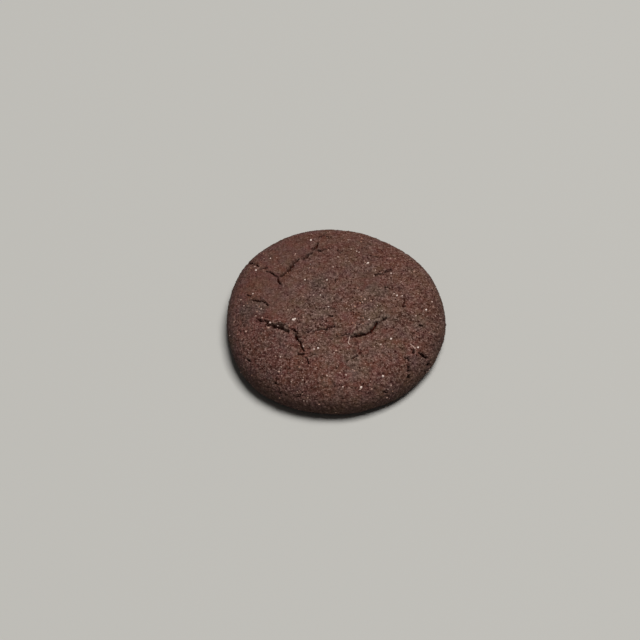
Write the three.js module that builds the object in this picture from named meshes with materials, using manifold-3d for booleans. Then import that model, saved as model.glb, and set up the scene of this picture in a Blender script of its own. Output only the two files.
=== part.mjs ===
// A kurabiye: a thick round cocoa biscuit with a domed, cracked top and a flat baked underside.
// Millimetres, +Z up. The origin is the middle of the underside, +X is to the right, +Y to the back.

import * as THREE from "three";
import { ConvexGeometry } from "three/addons/geometries/ConvexGeometry.js";
import { ImprovedNoise } from "three/addons/math/ImprovedNoise.js";
import { mergeVertices } from "three/addons/utils/BufferGeometryUtils.js";
import Module from "manifold-3d";

const wasm = await Module();
wasm.setup();

// Outline seen from above: a mean radius, and waves that make it longer, three-sided and uneven.
// Each wave rises by so many millimetres, with its first crest at so many degrees from +X.
const MEAN_RADIUS = 40.95;
const OUTLINE_WAVES = [
  { count: 2, rise: 1.6, crest: -81 },
  { count: 3, rise: 0.55, crest: -6 },
  { count: 4, rise: 0.2, crest: 35 },
  { count: 5, rise: 0.12, crest: 9 },
  { count: 6, rise: 0.1, crest: -27 },
  { count: 7, rise: 0.11, crest: -21 },
];

// Section: the dome over the widest line, and the underside that curls in to the flat base
const HEIGHT = 14.5;
const WIDEST_AT = 5;
const DOME_POWER = 5;
const UNDERSIDE_POWER = 16;
const BELLY_DROP = 0.8; // how far the untrimmed underside would bulge below the base
const SURFACE_DETAIL = 21; // splits of each edge of the ball that the body is shaped from

// Unevenness of the baked surface: lumps of a size, in and out by a rise
const LUMPS = [
  { size: 17, rise: 0.55 },
  { size: 6.5, rise: 0.3 },
];

// Cracks in the top: where each one bends, as x and y from the outline's own middle, and the gap there
const CRACKS = [
  // From the left edge inwards
  [[-33.0, 28.8, 2.0], [-27.2, 21.2, 0.9], [-22.4, 16.5, 0.8], [-20.2, 13.8, 1.0], [-18.9, 9.6, 0.3]],
  // From there to the back edge
  [
    [-19.9, 12.9, 0.6], [-15.8, 16.4, 1.0], [-13.9, 19.8, 1.2],
    [-9.8, 22.3, 0.9], [-6.0, 27.4, 1.1], [-2.8, 35.1, 0.4],
  ],
  // A short one on the left
  [[-31.3, 6.2, 0.3], [-28.7, 3.4, 1.1], [-25.1, 2.3, 0.9], [-23.0, -0.2, 0.3]],
  // The widest one, which turns towards the front
  [[-27.4, -6.0, 0.4], [-23.8, -8.1, 1.5], [-20.3, -10.6, 2.5], [-17.2, -12.8, 1.8], [-13.9, -13.9, 1.2]],
  [[-14.1, -13.5, 1.2], [-13.8, -15.6, 1.3], [-12.3, -19.3, 1.1], [-11.2, -22.5, 0.9], [-9.7, -27.6, 0.3]],
  // From its bend to the middle
  [[-13.9, -13.7, 0.7], [-9.5, -13.9, 0.5], [-6.0, -13.2, 0.7], [-0.4, -12.0, 0.3]],
  // Across the right half
  [[1.9, -16.7, 0.3], [6.0, -17.2, 0.9], [12.4, -15.1, 1.5], [14.8, -10.8, 1.3], [18.6, -7.0, 0.4]],
  // Short ones at the front, the back right and the front right edge
  [[4.8, -28.0, 0.3], [7.6, -26.1, 0.9], [8.8, -24.2, 0.3]],
  [[15.9, 11.8, 0.3], [19.9, 13.5, 1.0], [21.8, 14.3, 0.4]],
  [[23.5, -26.4, 0.4], [25.0, -29.3, 1.0], [24.0, -33.6, 0.9], [23.4, -36.2, 0.4]],
];
const CRACK_STEP = 1.4; // length of one straight run of a crack
const CRACK_WANDER = 0.3; // how far a run strays to the side
const CRACK_DEPTH = 1.0; // depth of a crack with no gap
const DEPTH_PER_GAP = 1.1; // how much deeper it is for each millimetre of gap
const CRACK_RISE = 1.5; // how far the cut reaches above the surface
const CRACK_SEED = 842;

// Half the side of the block that trims the underside flat
const TRIM_REACH = 60;

// Edges shorter than this are closed up where the cuts meet the surface
const SMALLEST_EDGE = 0.04;

const COCOA_CRUST = new THREE.MeshStandardMaterial({ color: 0x60473e, roughness: 0.85, metalness: 0 });

const noise = new ImprovedNoise();
const { degToRad, lerp, seededRandom } = THREE.MathUtils;

function outlineRadius(angle) {
  return OUTLINE_WAVES.reduce(
    (radius, { count, rise, crest }) => radius + rise * Math.cos(count * (angle - degToRad(crest))),
    MEAN_RADIUS,
  );
}

// Heights over the base at a share of the outline's radius, from 0 in the middle to 1 at the widest line
function domeHeight(share) {
  return WIDEST_AT + (HEIGHT - WIDEST_AT) * Math.sqrt(1 - share ** DOME_POWER);
}

function undersideHeight(share) {
  return WIDEST_AT - (WIDEST_AT + BELLY_DROP) * Math.sqrt(1 - share ** UNDERSIDE_POWER);
}

function surfaceHeight(x, y) {
  const share = Math.hypot(x, y) / outlineRadius(Math.atan2(y, x));
  return domeHeight(Math.min(share, 1));
}

function unevenness(point) {
  return LUMPS.reduce(
    (sum, { size, rise }) => sum + rise * noise.noise(point.x / size, point.y / size, point.z / size),
    0,
  );
}

function solidOf(geometry) {
  const bare = new THREE.BufferGeometry();
  bare.setAttribute("position", geometry.getAttribute("position"));
  bare.setIndex(geometry.index);
  const merged = mergeVertices(bare);
  return new wasm.Manifold(
    new wasm.Mesh({
      numProp: 3,
      vertProperties: merged.getAttribute("position").array,
      triVerts: new Uint32Array(merged.index.array),
      tolerance: SMALLEST_EDGE,
    }),
  );
}

function geometryOf(solid) {
  const mesh = solid.getMesh();
  const geometry = new THREE.BufferGeometry();
  geometry.setAttribute("position", new THREE.BufferAttribute(mesh.vertProperties, mesh.numProp));
  geometry.setIndex(new THREE.BufferAttribute(mesh.triVerts, 1));
  geometry.computeVertexNormals();
  return geometry;
}

// The whole biscuit before it cracks: a ball drawn out to the outline, its upper half to the dome and
// its lower half to the underside, and then made uneven along its own normals
function biscuitBody() {
  const ball = new THREE.IcosahedronGeometry(1, SURFACE_DETAIL);
  ball.deleteAttribute("normal");
  ball.deleteAttribute("uv");
  const body = mergeVertices(ball);
  const position = body.getAttribute("position");
  const point = new THREE.Vector3();
  for (let i = 0; i < position.count; i += 1) {
    point.fromBufferAttribute(position, i);
    const angle = Math.atan2(point.y, point.x);
    const share = Math.min(Math.hypot(point.x, point.y), 1);
    const radius = share * outlineRadius(angle);
    const height = point.z > 0 ? domeHeight(share) : undersideHeight(share);
    position.setXYZ(i, radius * Math.cos(angle), radius * Math.sin(angle), height);
  }
  body.computeVertexNormals();
  const normal = body.getAttribute("normal");
  const outward = new THREE.Vector3();
  for (let i = 0; i < position.count; i += 1) {
    point.fromBufferAttribute(position, i);
    outward.fromBufferAttribute(normal, i);
    point.addScaledVector(outward, unevenness(point));
    position.setXYZ(i, point.x, point.y, point.z);
  }
  return solidOf(body);
}

function trimBlock() {
  const block = new THREE.BoxGeometry(2 * TRIM_REACH, 2 * TRIM_REACH, TRIM_REACH);
  block.translate(0, 0, -TRIM_REACH / 2);
  return solidOf(block);
}

// The bends of a crack with short runs between them, which stray to either side
function crackStations(bends) {
  const stations = [];
  for (let i = 0; i + 1 < bends.length; i += 1) {
    const [x0, y0, gap0] = bends[i];
    const [x1, y1, gap1] = bends[i + 1];
    const length = Math.hypot(x1 - x0, y1 - y0);
    const runs = Math.max(1, Math.round(length / CRACK_STEP));
    for (let run = 0; run < runs; run += 1) {
      const along = run / runs;
      const stray = run === 0 ? 0 : CRACK_WANDER * (2 * seededRandom() - 1);
      stations.push({
        x: lerp(x0, x1, along) - (stray * (y1 - y0)) / length,
        y: lerp(y0, y1, along) + (stray * (x1 - x0)) / length,
        gap: lerp(gap0, gap1, along),
      });
    }
  }
  const [x, y, gap] = bends.at(-1);
  stations.push({ x, y, gap });
  return stations;
}

// The three corners of a crack's section at one station: its bottom, and its two sides above the surface
function crackCorners(stations, i) {
  const { x, y, gap } = stations[i];
  const before = stations[Math.max(i - 1, 0)];
  const after = stations[Math.min(i + 1, stations.length - 1)];
  const heading = Math.atan2(after.y - before.y, after.x - before.x);
  const depth = CRACK_DEPTH + DEPTH_PER_GAP * gap;
  const half = ((gap / 2) * (depth + CRACK_RISE)) / depth;
  const aside = new THREE.Vector3(-Math.sin(heading), Math.cos(heading), 0);
  const surface = surfaceHeight(x, y);
  const bottom = new THREE.Vector3(x, y, surface - depth);
  const over = new THREE.Vector3(x, y, surface + CRACK_RISE);
  return [bottom, over.clone().addScaledVector(aside, half), over.clone().addScaledVector(aside, -half)];
}

// The whole cut of a crack, joined from one wedge for each run
function crackCut(bends) {
  const stations = crackStations(bends);
  const corners = stations.map((_, i) => crackCorners(stations, i));
  const wedges = corners.slice(1).map((ahead, i) => solidOf(new ConvexGeometry([...corners[i], ...ahead])));
  return wedges.reduce((cut, wedge) => cut.add(wedge));
}

function biscuit() {
  seededRandom(CRACK_SEED);
  const cuts = [trimBlock(), ...CRACKS.map(crackCut)];
  const solid = cuts.reduce((body, cut) => body.subtract(cut), biscuitBody());
  const geometry = geometryOf(solid);
  geometry.computeBoundingBox();
  const middle = geometry.boundingBox.getCenter(new THREE.Vector3());
  geometry.translate(-middle.x, -middle.y, 0);
  const mesh = new THREE.Mesh(geometry, COCOA_CRUST);
  mesh.name = "cookie";
  return mesh;
}

const kurabiye = new THREE.Group();
kurabiye.add(biscuit());

export default kurabiye;
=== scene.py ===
"""A cocoa kurabiye: a cracked, sandy crust with crumbs, grit and sugar crystals baked into it."""

from math import cos, radians, sin

import bmesh
import bpy
import numpy as np
from mathutils import Matrix, Vector
from mathutils.kdtree import KDTree


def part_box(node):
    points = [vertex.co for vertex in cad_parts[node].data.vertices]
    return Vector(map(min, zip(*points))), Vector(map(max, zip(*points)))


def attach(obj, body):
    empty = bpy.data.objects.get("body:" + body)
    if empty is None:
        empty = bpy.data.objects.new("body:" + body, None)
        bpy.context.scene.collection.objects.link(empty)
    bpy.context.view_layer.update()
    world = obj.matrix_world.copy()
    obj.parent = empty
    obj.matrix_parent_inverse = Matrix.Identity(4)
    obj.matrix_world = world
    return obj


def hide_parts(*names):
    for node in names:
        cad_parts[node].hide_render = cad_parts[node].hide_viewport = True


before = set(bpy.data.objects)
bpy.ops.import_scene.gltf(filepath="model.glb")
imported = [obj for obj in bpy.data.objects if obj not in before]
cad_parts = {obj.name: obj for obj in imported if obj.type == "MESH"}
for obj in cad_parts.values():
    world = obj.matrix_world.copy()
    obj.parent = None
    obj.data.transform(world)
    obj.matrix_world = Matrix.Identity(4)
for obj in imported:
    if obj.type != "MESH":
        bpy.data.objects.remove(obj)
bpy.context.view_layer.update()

# Lengths are in millimetres, and become metres where a mesh, a node, a light or the camera is made.
# A noise is given as a size, a seed and mostly a detail, a stray as a size, a seed and a reach, and a
# fade as where it starts and ends, mostly with its values there.
MM = 0.001
FULL_TURN = 2 * np.pi

# Outline seen from above, as the solid has it: waves as count, rise and the crest's direction in degrees
MEAN_RADIUS = 40.95
OUTLINE_WAVES = ((2, 1.6, -81), (3, 0.55, -6), (4, 0.2, 35), (5, 0.12, 9), (6, 0.1, -27), (7, 0.11, -21))

# Section, as the solid has it
HEIGHT = 14.5
WIDEST_AT = 5.0
DOME_POWER = 5
UNDERSIDE_POWER = 16
BELLY_DROP = 0.8

# Mesh of the crust: rings over the top and side, each with six points more than the one inside it, and
# rings of the underside, a third as many, which end half a ring inside the side's foot
TOP_RINGS = 132
RING_GROWTH = 6
RIM_STEPS = 3
UNDERSIDE_RINGS = TOP_RINGS // RIM_STEPS
UNDERSIDE_INSET = 0.5
SECTION_STEPS = 4000  # points along the dome, and along the underside
OUTLINE_STEPS = 720  # points round the outline
MESH_STRAY = 0.09  # how far a point strays along its ring
MESH_SEED = 11

# Cracks: how wide the wall on the far side is and how far it rises at the slit, or sinks where that is
# below 0, and where the slit bends, as x, y and its width there. Most have one of three walls.
HAIR, THIN, EDGE = (0.2, -0.1), (0.3, -0.1), (0.4, -0.2)
CRACKS = (
    # A notch in the left edge, and the crack that runs in from it
    (0.6, -0.2, (
        (-33.0, 28.8, 0.7), (-30.4, 25.6, 0.6), (-28.7, 23.4, 0.4), (-27.5, 22.1, 0.4), (-26.6, 20.6, 0.3))),
    (*THIN, ((-26.0, 18.8, 0.8), (-24.9, 19.0, 1.0), (-23.8, 19.0, 0.8))),
    (*THIN, ((-23.8, 17.1, 0.35), (-22.4, 16.5, 0.4), (-20.6, 14.4, 0.35), (-19.5, 13.0, 0.4))),
    (*THIN, ((-19.5, 13.0, 0.4), (-19.4, 11.2, 0.5), (-18.8, 9.6, 0.4))),
    # From there to the back edge
    (*THIN, ((-19.1, 13.4, 0.6), (-17.7, 14.5, 0.8), (-16.2, 15.9, 1.1))),
    (*THIN, ((-16.2, 15.9, 1.1), (-15.0, 17.9, 1.3), (-13.5, 20.3, 1.2), (-12.0, 22.0, 0.6))),
    (*THIN, ((-10.0, 22.1, 1.0), (-9.1, 22.5, 1.2), (-8.3, 23.8, 1.0), (-7.2, 24.8, 0.7))),
    (0.5, -0.2, ((-6.6, 26.9, 0.9), (-5.4, 27.6, 1.2), (-4.6, 30.2, 0.5))),
    (*THIN, ((-3.9, 33.4, 0.6), (-3.0, 34.7, 1.0), (-2.2, 34.9, 0.8))),
    (*HAIR, ((-1.2, 34.0, 0.4), (-0.3, 32.4, 0.3))),
    # Hairlines across the back
    (*HAIR, ((-4.6, 25.9, 0.4), (-3.5, 25.5, 0.45), (-2.0, 26.2, 0.4), (0.6, 26.3, 0.3))),
    (*HAIR, ((2.4, 25.4, 0.15), (4.2, 24.2, 0.2))),
    (*HAIR, ((14.0, 22.5, 0.45), (15.8, 21.6, 0.3), (17.9, 20.8, 0.5))),
    # A short one on the left
    (*HAIR, ((-30.9, 6.6, 0.4), (-29.4, 5.5, 0.45))),
    (*THIN, (
        (-29.1, 3.6, 0.5), (-26.9, 2.4, 0.55), (-25.1, 2.1, 0.5), (-24.0, 1.0, 0.45), (-23.3, -0.3, 0.3))),
    # The widest one, with a thin end and a twig
    (*THIN, ((-27.2, -5.9, 0.4), (-26.0, -7.0, 0.65), (-24.8, -7.4, 0.8), (-23.4, -8.0, 0.7))),
    (0.6, -0.2, ((-24.2, -9.0, 0.7), (-23.2, -9.5, 1.1), (-22.3, -9.5, 1.1))),
    (1.0, -0.4, ((-22.0, -9.2, 1.3), (-21.0, -9.5, 1.8), (-19.9, -10.3, 1.9))),
    (1.4, -0.5, ((-19.9, -10.3, 1.9), (-18.4, -11.4, 1.4), (-17.3, -12.4, 1.0), (-16.2, -13.3, 0.5))),
    # From there towards the front, and its twigs
    (*THIN, ((-15.3, -12.2, 0.55), (-14.5, -12.2, 0.65), (-13.8, -13.2, 0.8), (-13.4, -13.6, 0.6))),
    (0.9, -0.4, ((-13.9, -14.7, 0.6), (-13.9, -15.6, 0.9), (-13.8, -16.3, 1.0))),
    (0.9, -0.4, ((-13.8, -16.3, 1.0), (-13.0, -17.1, 0.9), (-12.3, -17.9, 0.7))),
    (*THIN, ((-12.3, -17.9, 0.6), (-12.2, -18.7, 0.5), (-12.1, -20.1, 0.55), (-11.6, -21.4, 0.5))),
    (*THIN, ((-11.6, -21.4, 0.5), (-11.1, -22.4, 0.45))),
    (*HAIR, ((-13.4, -23.2, 0.45), (-12.3, -23.4, 0.6), (-11.3, -23.5, 0.5))),
    (*HAIR, ((-10.8, -25.1, 0.4), (-10.1, -25.7, 0.4), (-10.0, -26.7, 0.3), (-9.7, -27.7, 0.25))),
    (*HAIR, ((-9.1, -24.7, 0.2), (-8.3, -24.2, 0.35), (-7.4, -24.1, 0.3))),
    # From its bend to the middle
    (*HAIR, ((-11.6, -13.9, 0.2), (-9.2, -13.7, 0.3), (-7.1, -13.9, 0.4))),
    (*HAIR, ((-6.3, -13.3, 0.55), (-4.6, -13.0, 0.7), (-3.0, -13.3, 0.55))),
    (*HAIR, ((-2.4, -12.3, 0.9), (-1.4, -12.1, 1.0), (-0.5, -11.9, 1.0))),
    # Across the right half
    (*HAIR, ((0.5, -16.6, 0.3), (2.1, -16.4, 0.5), (3.2, -16.3, 0.5), (4.9, -15.9, 0.3))),
    (2.6, 0.3, ((5.6, -17.3, 0.6), (6.6, -16.8, 1.0), (8.1, -16.7, 1.2), (9.6, -16.1, 1.2))),
    (2.6, 0.3, ((9.6, -16.1, 1.2), (10.9, -15.8, 1.0), (11.8, -15.3, 0.9))),
    (2.2, 0.25, (
        (11.8, -15.3, 0.9), (12.6, -14.3, 0.9), (13.4, -13.3, 0.85), (14.2, -12.0, 0.7), (14.7, -10.9, 0.5))),
    (2.4, 0.25, ((15.7, -11.2, 0.5), (16.8, -10.2, 0.7), (18.0, -9.1, 0.5))),
    # Short ones at the front
    (*THIN, ((5.0, -26.9, 0.35), (6.1, -26.1, 0.6), (7.0, -25.6, 0.5))),
    (*HAIR, ((7.8, -24.6, 0.25), (8.9, -22.9, 0.2))),
    (*THIN, ((3.1, -26.7, 0.15), (3.1, -28.6, 0.2))),
    # Short ones on the right
    (*THIN, ((15.5, 11.4, 0.4), (16.6, 12.0, 0.6), (18.4, 12.3, 0.6))),
    (*THIN, ((19.2, 13.1, 0.8), (20.0, 13.7, 1.1), (21.5, 14.3, 0.7))),
    (*THIN, ((25.5, 0.5, 0.3), (24.9, -2.4, 0.35), (24.3, -4.0, 0.5), (25.4, -3.8, 0.5))),
    (*HAIR, ((29.7, -12.1, 0.45), (30.7, -12.4, 0.55))),
    (*HAIR, ((26.8, -15.8, 0.35), (27.4, -16.0, 0.45))),
    # Over the front right edge, and along the top of the flaked patch there
    (*EDGE, ((23.5, -25.8, 0.35), (24.6, -26.2, 0.5), (24.8, -27.2, 0.3))),
    (*EDGE, ((24.6, -28.9, 0.8), (24.6, -30.2, 1.1))),
    (*EDGE, ((24.5, -31.8, 0.7), (23.9, -33.2, 0.5))),
    (*EDGE, ((26.6, -23.8, 0.5), (27.0, -23.0, 0.6))),
    (*EDGE, ((28.9, -23.5, 0.6), (30.0, -23.7, 0.9), (31.3, -24.1, 1.0))),
    (*EDGE, ((31.6, -25.7, 0.8), (32.3, -25.0, 1.0))),
    # Hollows round the knobs at the front and on the left
    (*EDGE, ((-22.7, -32.7, 0.15), (-21.6, -32.6, 0.2), (-20.6, -33.4, 0.15))),
    (*EDGE, ((-20.1, -35.2, 0.15), (-19.6, -36.4, 0.1))),
    (0.4, -0.1, ((-14.3, -38.1, 0.1), (-13.3, -38.1, 0.15), (-12.2, -37.3, 0.1))),
    (*EDGE, ((15.5, -37.9, 0.4), (16.5, -37.9, 0.4))),
    (*EDGE, ((-31.2, -21.7, 0.3), (-30.5, -22.4, 0.4), (-30.9, -23.2, 0.3))),
    # Pinholes in the top
    (*HAIR, ((-1.7, -7.1, 0.5), (-0.7, -7.4, 0.75))),
    (*HAIR, ((1.0, 10.5, 0.15), (1.1, 9.0, 0.3))),
    (*HAIR, ((18.9, 5.5, 0.75), (19.6, 5.5, 0.95))),
)
CRACK_SPACING = 0.12  # between the points along a crack
CRACK_BANDS = (1.2, 0.6)  # to each side, where the mesh is refined
SLIT_DEPTH = 0.6  # of a slit with no width
DEPTH_PER_WIDTH = 1.8
THINNEST_SLIT = 0.12
HALF_SLIT = 0.62  # reach to each side, as a share of the width

# Patch at the front right where the crust has flaked off: its inner corner, how much lower it lies, and
# the rise of its bumps
FLAKE_CORNER = (24.8, -24.6)
FLAKE_DROP = 0.35
FLAKE_ROUGHNESS = 1.6

# Relief of the crust, as its noise or its size across, and how far it rises or sinks
LUMP_NOISE, LUMP_RISE = (17.0, 2), 1.2
KNOB_NOISE, KNOB_RISE = (3.4, 3, 2.0), 0.6
CRUMB_SIZE, CRUMB_RISE = 1.0, 0.6
GRIT_SIZE, GRIT_RISE = 0.48, 0.2
PIT_SIZE, PIT_DEPTH = 0.8, 0.15
DUST_NOISE, DUST_RISE = (0.3, 24, 2.0), 0.1
PORE_SIZE, PORE_DEPTH = 1.6, 0.3

# Patches of the top, as x, y and radius: where it baked smooth, and where it is rougher, greyer, redder,
# less red or darker; most of the darker ones, near the edge, are painted shade
SMOOTH_PATCHES = (
    (-20.5, 0.5, 6.5), (-23.0, 12.0, 8.0), (-15.0, 27.0, 9.0), (4.0, -9.5, 4.5), (-32.0, 12.0, 7.0),
    (14.0, 8.0, 4.0),
)
ROUGH_PATCHES = ((2.0, -8.0, 14.0),)
GREY_PATCHES = (
    (-5.5, 9.5, 5.0), (-5.0, 1.0, 6.0), (-3.5, -5.0, 5.0), (15.0, -8.5, 5.0), (11.0, -13.5, 3.0),
    (-29.5, -1.5, 5.0), (29.5, -12.0, 4.0), (9.5, -33.0, 3.0), (5.5, -28.5, 2.5), (15.5, 4.5, 4.0),
)
RED_PATCHES = (
    (4.0, -8.5, 4.0), (22.0, 21.0, 7.0), (-14.0, -32.5, 8.0), (-29.0, -10.0, 7.0), (-27.0, -23.0, 8.0),
    (20.0, -33.0, 7.0), (33.0, -20.0, 7.0),
)
BROWN_PATCHES = (
    (14.0, -23.0, 7.0), (24.0, -22.5, 4.0), (8.5, -34.0, 4.0), (-15.0, -16.5, 5.0), (-15.0, -27.0, 4.0),
    (-1.0, -12.0, 4.0), (-9.0, -9.5, 4.0),
)
# Darker patches: mostly painted shade near the edge, partly the crust's own darker tone
DARK_AND_SHADED_PATCHES = (
    (-5.6, 8.5, 4.0), (-29.1, -2.3, 5.0), (36.5, -4.0, 8.0), (25.0, -9.5, 4.5), (-25.0, -29.5, 9.0),
    (34.5, -18.0, 8.0), (-26.5, -20.0, 9.0), (-13.0, -33.5, 7.0), (21.0, -34.0, 8.0), (34.0, -27.0, 8.0),
)

# Grains on the crust: how many to a square millimetre at most, how close, their sizes, how thin the flattest
# is, how far they are ruffled, and the seed of their draws
GRAIN_SIZES = ("Density", "Spacing", "Smallest", "Largest", "Flattest", "Ruffle", "Seed")
CRUMBS = dict(zip(GRAIN_SIZES, (2.4, 0.65, 0.35, 0.9, 0.55, 0.8, 3)))
GRIT = dict(zip(GRAIN_SIZES, (6.0, 0.36, 0.25, 0.5, 0.6, 0.3, 8)))
SUGAR = dict(zip(GRAIN_SIZES, (0.05, 0.5, 0.35, 0.8, 0.55, 0.2, 5)))
SINK = 0.2  # share of its size that a grain is sunk by

# Sugar crystals that catch the light, as x, y, size and how pale each one is; the paleness is partly the
# sugar's own white and partly a painted glint, palest where a crystal glints
BRIGHT_SUGAR = (
    (-14.6, -7.9, 1.05, 1.0), (-13.9, -7.8, 0.9, 1.0), (-14.2, -8.3, 0.75, 0.8), (-7.0, 31.8, 1.0, 1.0),
    (-27.5, 18.4, 0.9, 0.9), (-27.9, 20.7, 0.65, 0.4), (-9.8, 10.8, 0.8, 0.7), (-1.9, 10.2, 0.75, 0.8),
    (13.4, 18.1, 0.95, 1.0), (13.0, 17.7, 0.65, 0.7), (22.7, 1.0, 0.9, 0.8), (21.7, 2.0, 0.75, 0.5),
    (24.5, 0.8, 0.75, 0.6), (11.2, -0.4, 1.1, 0.3), (7.5, -3.3, 1.05, 0.1), (-4.5, 2.9, 0.55, 1.0),
    (-7.0, 3.0, 0.55, 0.5), (-28.7, 6.3, 0.75, 0.6), (-25.8, -1.6, 0.7, 0.5), (-16.3, -3.3, 0.65, 0.3),
    (-25.5, -5.9, 0.65, 0.4), (-10.2, -3.7, 0.65, 0.3), (12.1, -9.7, 0.65, 1.0), (16.9, -6.0, 0.65, 0.5),
    (35.1, -0.2, 0.75, 0.5), (-23.3, -10.9, 1.1, 0.2), (-19.4, -24.0, 0.75, 0.5), (-20.1, -29.5, 0.9, 0.3),
    (-12.0, -33.6, 0.65, 0.4), (-3.7, -33.1, 0.75, 0.4), (-0.1, -23.3, 0.9, 0.3), (21.3, 12.0, 0.7, 0.7),
    (10.4, 23.9, 0.7, 0.5), (2.6, 21.6, 0.65, 0.5), (0.6, 16.6, 0.7, 0.5), (32.6, -4.9, 0.9, 1.0),
    (19.2, -18.8, 0.95, 1.0), (-6.3, -21.8, 0.9, 1.0), (-7.7, -22.1, 0.75, 0.8), (15.5, -21.2, 0.75, 0.7),
    (28.4, -21.6, 0.9, 0.9), (7.7, -37.4, 1.0, 1.0), (15.4, -33.5, 1.0, 0.9), (1.5, -37.2, 0.75, 0.5),
    (2.8, -33.3, 0.75, 0.5), (-22.7, -8.4, 0.9, 0.7), (-33.1, 5.0, 0.75, 0.3), (-32.0, 1.5, 0.6, 0.4),
    (-27.7, -4.5, 0.55, 0.4), (-35.7, -4.0, 0.6, 0.2), (-34.3, -10.2, 0.65, 0.0), (9.9, 1.1, 0.8, 0.1),
    (13.3, -1.0, 0.8, 0.2), (9.4, -1.7, 0.8, 0.0), (7.6, 25.7, 0.6, 0.4), (15.1, 11.1, 0.6, 0.4),
    (35.3, -2.6, 0.6, 0.1), (37.4, -6.8, 0.6, 0.2), (28.7, -8.2, 0.6, 0.5), (5.8, -32.0, 0.7, 0.2),
    (5.1, -31.4, 0.6, 0.2), (0.8, -32.4, 0.7, 0.3), (0.9, -35.2, 0.6, 0.2), (-12.4, -37.6, 0.7, 0.2),
    (-10.6, -39.0, 0.6, 0.2), (-0.4, -23.4, 0.7, 0.1), (11.3, -37.7, 0.7, 0.2), (16.4, -38.4, 0.6, 0.3),
    (6.2, -11.1, 0.8, 0.0), (7.1, -12.0, 0.7, 0.1),
)

# Two thin slivers of sugar: where each one bends
SUGAR_SLIVERS = (
    ((4.9, -17.6), (4.6, -18.9), (4.2, -19.8), (4.8, -20.9)),
    ((25.7, -20.5), (26.5, -21.2), (27.3, -22.2)),
)
SLIVER_SPACING = 0.08
SLIVER_SIZE = 0.28
SLIVER_PALENESS = 0.5

# Photograph's view: the camera's aim, distance, height over the horizon and roll
LENS = 85.0
SENSOR = 36.0
AIM = (-5.65, -1.61, 6.0)
AIM_DISTANCE = 542.6
ELEVATION = 48.4
ROLL = 2.9

# The curve of a screen's colours: its full level, its straight foot, and the curve above that
FULL_LEVEL = 255
CURVE_FOOT, FOOT_SLOPE = 0.04045, 12.92
CURVE_LIFT, CURVE_POWER = 0.055, 2.4


def screen_colour(red, green, blue):
    """The linear colour of a screen colour from 0 to 255."""
    shares = np.array((red, green, blue)) / FULL_LEVEL
    curved = ((shares + CURVE_LIFT) / (1 + CURVE_LIFT)) ** CURVE_POWER
    linear = np.where(shares <= CURVE_FOOT, shares / FOOT_SLOPE, curved)
    return (*linear.tolist(), 1.0)


BROWN = screen_colour(100, 73, 63)
RED_BROWN = screen_colour(105, 64, 54)
GREY_BROWN = screen_colour(98, 76, 66)
FLAKED_BROWN = screen_colour(97, 73, 65)
WALL_BROWN = screen_colour(113, 95, 83)
# Deep brown of the slits: partly the crumb's own colour, partly painted shade
SLIT_BROWN_AND_SHADE = screen_colour(76, 26, 12)
RIM_BROWN = screen_colour(94, 67, 59)
LIGHT_GRAIN = screen_colour(168, 140, 128)
PINK_GRAIN = screen_colour(168, 134, 124)
DARK_GRAIN_AND_SHADE = screen_colour(48, 11, 2)
PALE_SUGAR_AND_GLINT = screen_colour(252, 230, 218)
TAN_SUGAR = screen_colour(172, 124, 102)
PALE_FLOOR = screen_colour(200, 198, 192)
WHITE = (1, 1, 1, 1)
MAUVE_TINT = (0.99, 0.96, 1.1, 1)
OLIVE_TINT = (1.01, 1.05, 0.87, 1)


# Node trees

# Noise mostly keeps within a quarter of its mean, so a stray is four times its reach
NOISE_MEAN = 0.5
STRAY_GAIN = 4


def usable(sockets, key):
    """The socket with this name, or at this place, among those that the node's settings leave in use."""
    in_use = [socket for socket in sockets if not socket.is_unavailable]
    if isinstance(key, int):
        return in_use[key]
    return next(socket for socket in in_use if socket.name == key)


def operators(operation):
    """An operator that adds a Math node, and its reflected form."""
    def plain(self, other):
        return self.sheet.math(operation, self, other)

    def reflected(self, other):
        return self.sheet.math(operation, other, self)

    return plain, reflected


class Value:
    """A value on a node's socket. Arithmetic on it adds the Math nodes that work it out."""

    def __init__(self, sheet, socket):
        self.sheet = sheet
        self.socket = socket

    def also(self, name):
        """The value on another output of the same node."""
        return Value(self.sheet, usable(self.socket.node.outputs, name))

    __add__, __radd__ = operators("ADD")
    __sub__, __rsub__ = operators("SUBTRACT")
    __mul__, __rmul__ = operators("MULTIPLY")
    __truediv__, __rtruediv__ = operators("DIVIDE")


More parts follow.
